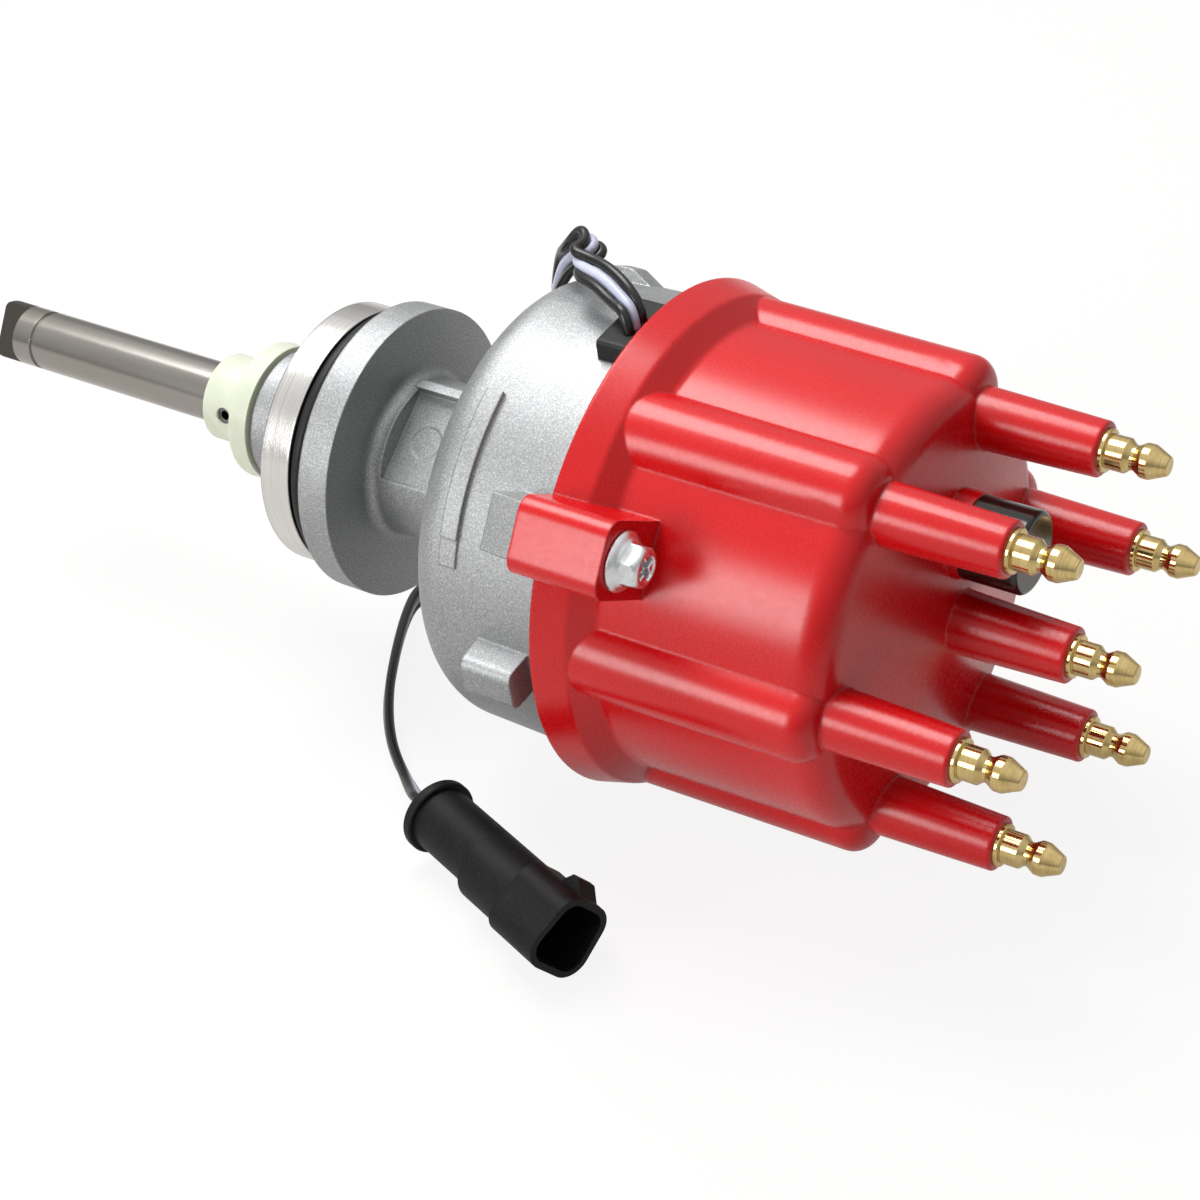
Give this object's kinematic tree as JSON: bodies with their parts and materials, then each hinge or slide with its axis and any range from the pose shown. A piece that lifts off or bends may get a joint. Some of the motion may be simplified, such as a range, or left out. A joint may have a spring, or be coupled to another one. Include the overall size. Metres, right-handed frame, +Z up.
{
  "type": "ignition distributor",
  "caption": "Ignition distributor with a cast bowl, a red ribbed cap with brass terminals, a long drive shaft with a nylon collar and a short sensor lead.",
  "frame": {"origin": "on the shaft's axis, in the plane of the flange face that seats on the engine", "axes": "+X along the shaft towards the cap, +Z up off the table that it lies on, -Y towards the viewer of the picture"},
  "size_m": [0.2653, 0.1306, 0.1053],
  "materials": {
    "cast_aluminium": "as cast, satin",
    "red_plastic": "moulded satin gloss",
    "turned_steel": "ground",
    "nylon": "moulded",
    "black_rubber": "moulded",
    "black_plastic": "moulded",
    "gloss_black_plastic": "glossy",
    "polished_brass": "polished",
    "zinc_plate": "bright zinc",
    "bearing_bronze": "sintered",
    "sheet_steel": "plated sheet",
    "spring_steel": "drawn wire",
    "carbon": "pressed",
    "rotor_plastic": "moulded",
    "black_wire": "extruded",
    "white_wire": "extruded"
  },
  "bodies": {
    "distributor": {"housing": "cast_aluminium", "lower_bushing": "bearing_bronze", "upper_bushing": "bearing_bronze", "pilot_o_ring": "black_rubber", "sensor_plate": "sheet_steel", "sensor_plate_screws": "zinc_plate", "hall_sensor": "black_plastic", "lead_grommet": "black_rubber", "distributor_cap": "red_plastic", "cap_screws": "zinc_plate", "cap_vent": "gloss_black_plastic", "plug_terminal_1": "polished_brass", "plug_terminal_2": "polished_brass", "plug_terminal_3": "polished_brass", "plug_terminal_4": "polished_brass", "plug_terminal_5": "polished_brass", "plug_terminal_6": "polished_brass", "coil_terminal": "polished_brass", "brush_spring": "spring_steel", "lead_wire_1": "black_wire", "lead_wire_2": "white_wire", "lead_wire_3": "black_wire", "connector_shell": "black_plastic", "connector_seal": "black_rubber", "connector_pins": "zinc_plate"},
    "rotating_shaft": {"drive_shaft": "turned_steel", "thrust_collar": "nylon", "thrust_washer": "turned_steel", "collar_roll_pin": "spring_steel", "shutter_wheel": "sheet_steel", "rotor": "rotor_plastic", "rotor_blade": "polished_brass", "rotor_contact": "turned_steel"},
    "brush": {"carbon_brush": "carbon"}
  },
  "joints": [
    {"name": "shaft_spin", "type": "hinge", "parent": "distributor", "child": "rotating_shaft", "pos_m": [0, 0, 0], "axis": [1, 0, 0], "continuous": true},
    {"name": "brush_slide", "type": "slide", "parent": "distributor", "child": "brush", "axis": [1, 0, 0], "range_m": [0, 0.0015], "stiffness_N_per_m": 150, "springref_m": -0.004, "deforming": ["brush_spring"]}
  ]
}
